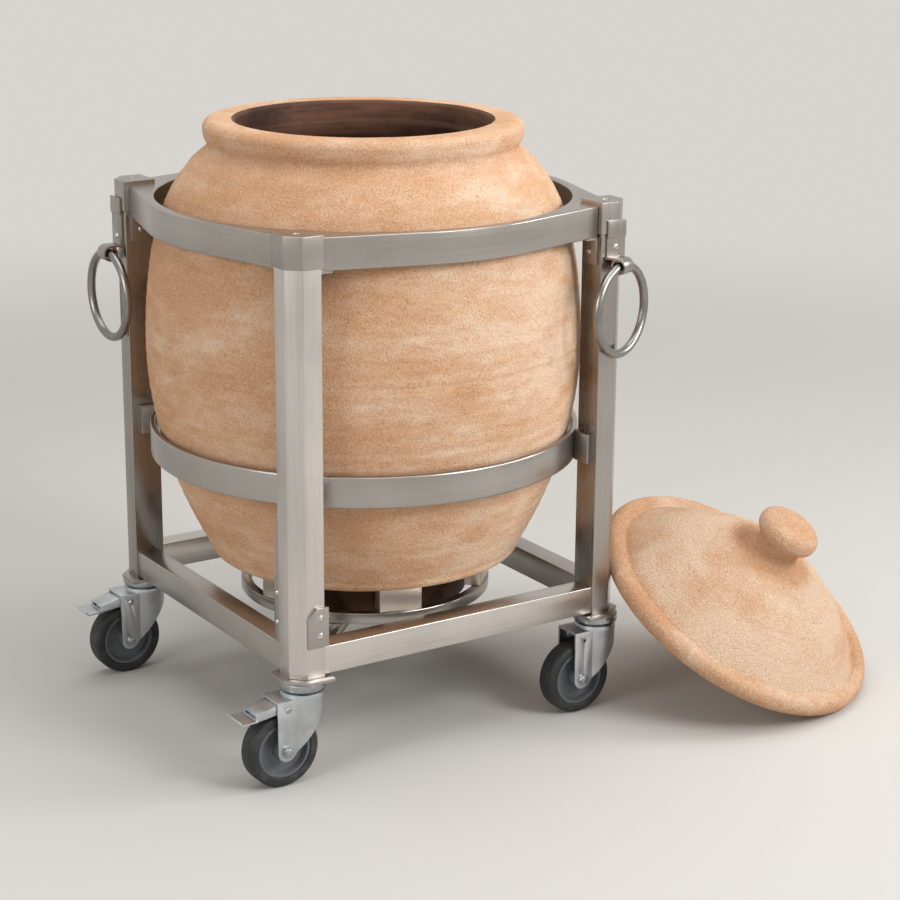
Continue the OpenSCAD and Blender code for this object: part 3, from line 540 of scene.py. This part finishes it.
def dome_z(r):
    """Height of the dome at a radius, with lines cut in it and the waves left by fingers."""
    cuts = sum(math.exp(-((r - cut * MM) / (1.1 * MM)) ** 2) for cut in (96, 134, 163))
    waves = 0.5 * MM * math.sin(r / (24 * MM) * TURN)
    dome = (dome_h - groove_z) * (1 - (r / groove_r) ** 1.9)
    return groove_z + dome - 0.5 * MM * cuts + waves * (1 - r / groove_r)


def lid_blush(clay, here):
    """The rim and the foot of the knob's neck came out more orange than the dome."""
    rim = clay.step(from_axis(clay, here), 0.176, 0.200) * 0.9
    neck = clay.step(from_axis(clay, here), 0.078, 0.050) * 0.8
    return rim + neck


flare_r, flare_h = knob_neck_r + flare, flare * 0.55
flare_z = dome_z(flare_r)
knob_z = flare_z + flare_h + knob_neck_h
mid_r, under_r, knob_edge = lid_r - lid_edge, groove_r - 4 * MM, knob_t * 0.42
dome_n, under_n = 90, 40
rim = arc(mid_r, 0, lid_edge, -90, 90, 22)
groove = [(mid_r - 7 * MM, lid_edge + 0.2 * MM), (mid_r - 10 * MM, lid_edge - 1.2 * MM),
          (groove_r + 1.5 * MM, groove_z - 0.4 * MM)]
radii = [groove_r + (flare_r - groove_r) * (i / dome_n) for i in range(dome_n + 1)]
dome = [(r, dome_z(r)) for r in radii]
neck = [(flare_r + flare * math.cos(a), flare_z + flare_h * (1 + math.sin(a)))
        for a in (math.radians(262 - 8.2 * i) for i in range(11))]
neck += [(knob_neck_r - 0.5 * MM, knob_z - 8 * MM), (knob_neck_r + 1 * MM, knob_z - 3 * MM)]
knob = arc(knob_r - knob_edge, knob_z + knob_edge, knob_edge, -70, 62, 16)
crown = [(knob_r * share, knob_z + knob_t - drop * MM)
         for share, drop in ((0.62, 2.4), (0.45, 1.3), (0.25, 0.4), (0, 0))]
under_h = dome_h + lid_edge - lid_wall
under = [(under_r * i / under_n, -lid_edge + under_h * (1 - (i / under_n) ** 1.8))
         for i in range(under_n + 1)]
lid = turned("thrown_lid", rim + groove + dome + neck + knob + crown + under, 240)
uneven(lid, 0.09, 0.9 * MM)
lid.location, lid.rotation_euler = lid_place, lid_turn
settle(lid)
for face in lid.data.polygons:
    face.use_smooth = True
# Painted shade: the lid's colours are the pot's clay darkened to 0.81, to hold the upturned dome
# down.
lid_clay = fired_clay("orange fired clay, painted darker", 0.81, lid_blush, lid_place, lid_turn)
lid.data.materials.append(lid_clay.material)
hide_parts("clay_lid")
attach(lid, "lid")

# ---- Studio -----------------------------------------------------------------------------
# A pale seamless floor that fades into the backdrop, a broad lamp overhead, a window in
# front, one at the right and a weaker one at the left. The camera stands at the height of
# a chest and is turned to the front post.
backdrop_grey, paper_grey, room_white = (
    (0.680, 0.660, 0.625), (0.580, 0.563, 0.535), (1.0, 0.985, 0.965))
bpy.ops.object.select_all(action="DESELECT")
bpy.ops.mesh.primitive_plane_add(size=40, location=(0, 0, 0))
ground = bpy.context.object
ground.name = "studio_floor"
paper = Finish("seamless paper", Roughness=1.0, Specular_IOR_Level=0.0, Base_Color=paper_grey)
distance = paper.node("ShaderNodeVectorMath", {"operation": "LENGTH"}, {0: paper.place()}, "Value")
clear = paper.node("ShaderNodeBsdfTransparent", {}, {})
fade = paper.node("ShaderNodeMixShader", {}, {
    0: paper.step(distance, 1.3, 3.6), 1: Value(paper, paper.shader.outputs[0]), 2: clear})
paper.put(paper.tree.nodes["Material Output"].inputs["Surface"], fade)
ground.data.materials.append(paper.material)

world = bpy.data.worlds.new("studio")
bpy.context.scene.world = world
world.use_nodes = True
sky = world.node_tree
backdrop = sky.nodes["Background"]
backdrop.inputs["Color"].default_value = (*backdrop_grey, 1)
backdrop.inputs["Strength"].default_value = 1.0
room = sky.nodes.new("ShaderNodeBackground")
room.inputs["Color"].default_value = (*room_white, 1)
room.inputs["Strength"].default_value = 0.38
rays = sky.nodes.new("ShaderNodeLightPath")
shader = room.outputs[0]
for ray in ("Is Camera Ray", "Is Glossy Ray", "Is Transmission Ray"):
    choice = sky.nodes.new("ShaderNodeMixShader")
    sky.links.new(rays.outputs[ray], choice.inputs[0])
    sky.links.new(shader, choice.inputs[1])
    sky.links.new(backdrop.outputs[0], choice.inputs[2])
    shader = choice.outputs[0]
sky.links.new(shader, sky.nodes["World Output"].inputs["Surface"])


def lamp(name, place, size, power):
    """A round soft lamp that is aimed at the middle of the oven."""
    aim = Vector((0.05, -0.05, 0.45))
    light = bpy.data.lights.new(name, "AREA")
    light.shape, light.size, light.energy = "DISK", size, power
    holder = bpy.data.objects.new(name, light)
    holder.location = place
    holder.rotation_euler = (aim - Vector(place)).to_track_quat("-Z", "Y").to_euler()
    bpy.context.scene.collection.objects.link(holder)


lamp("overhead", (0.2, 0.1, 3.9), size=4.0, power=78)
lamp("front window", (1.55, -3.20, 2.45), size=1.8, power=84)
lamp("right window", (2.76, -1.50, 1.88), size=1.4, power=39)
lamp("left window", (-3.2, -0.9, 1.9), size=1.6, power=31)

camera = bpy.data.objects.new("camera", bpy.data.cameras.new("camera"))
camera.data.lens, camera.data.sensor_width = 91.4, 36
camera.location = (-1.585, -2.662, 1.269)
heading, pitch, roll = (math.radians(a) for a in (57.0, 16.45, 0.43))
camera.rotation_euler = (Matrix.Rotation(heading - math.pi / 2, 3, "Z")
                         @ Matrix.Rotation(math.pi / 2 - pitch, 3, "X")
                         @ Matrix.Rotation(roll, 3, "Z")).to_euler()
bpy.context.scene.collection.objects.link(camera)
bpy.context.scene.camera = camera
bpy.context.scene.view_settings.view_transform = "Standard"
